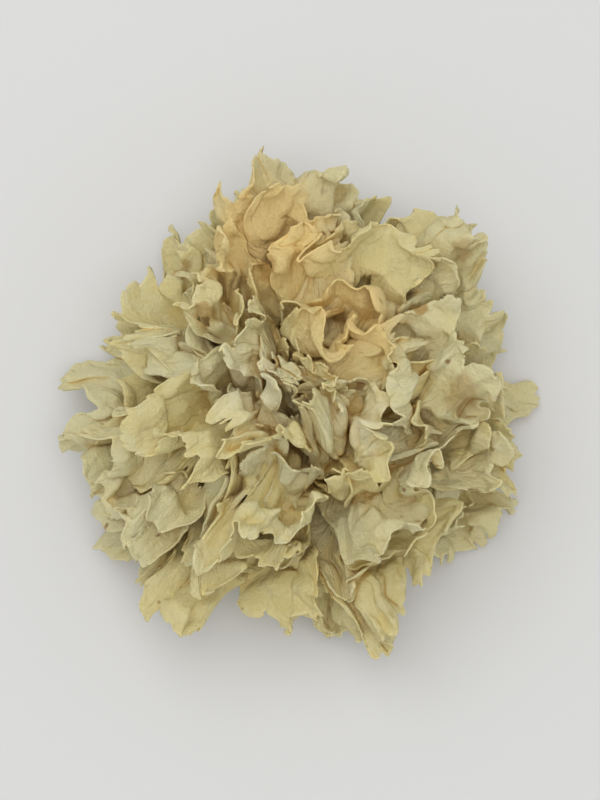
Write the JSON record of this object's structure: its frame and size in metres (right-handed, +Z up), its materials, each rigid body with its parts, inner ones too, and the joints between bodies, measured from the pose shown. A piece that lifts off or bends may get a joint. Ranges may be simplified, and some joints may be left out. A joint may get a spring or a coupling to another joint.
{
  "type": "dried snow fungus",
  "caption": "Dried snow fungus head: a ruffled rosette of thin pale lobes growing from a root stub cut off flat, on which it rests.",
  "frame": {"origin": "near the middle of the flat cut under the root stub, on the plane of the cut", "axes": "+Z up out of the cut, through the crown; +Y towards the top of the picture, +X to its right"},
  "size_m": [0.1083, 0.1102, 0.0543],
  "materials": {
    "dried_lobe": "dry and waxy, slightly see-through, cream with amber feet",
    "dried_root": "matte, spongy, amber to brown"
  },
  "bodies": {
    "root": {"root_stub": "dried_root", "skirt_lobe_1": "dried_lobe", "skirt_lobe_2": "dried_lobe", "skirt_lobe_3": "dried_lobe", "skirt_lobe_4": "dried_lobe", "skirt_lobe_5": "dried_lobe", "skirt_lobe_6": "dried_lobe", "skirt_lobe_7": "dried_lobe", "outer_lobe_1": "dried_lobe", "outer_lobe_2": "dried_lobe", "outer_lobe_3": "dried_lobe", "outer_lobe_4": "dried_lobe", "outer_lobe_5": "dried_lobe", "outer_lobe_6": "dried_lobe", "outer_lobe_7": "dried_lobe", "middle_lobe_1": "dried_lobe", "middle_lobe_2": "dried_lobe", "middle_lobe_3": "dried_lobe", "middle_lobe_4": "dried_lobe", "middle_lobe_5": "dried_lobe", "middle_lobe_6": "dried_lobe", "inner_lobe_1": "dried_lobe", "inner_lobe_2": "dried_lobe", "inner_lobe_3": "dried_lobe", "inner_lobe_4": "dried_lobe", "crown_lobe_1": "dried_lobe", "crown_lobe_2": "dried_lobe"}
  },
  "joints": []
}
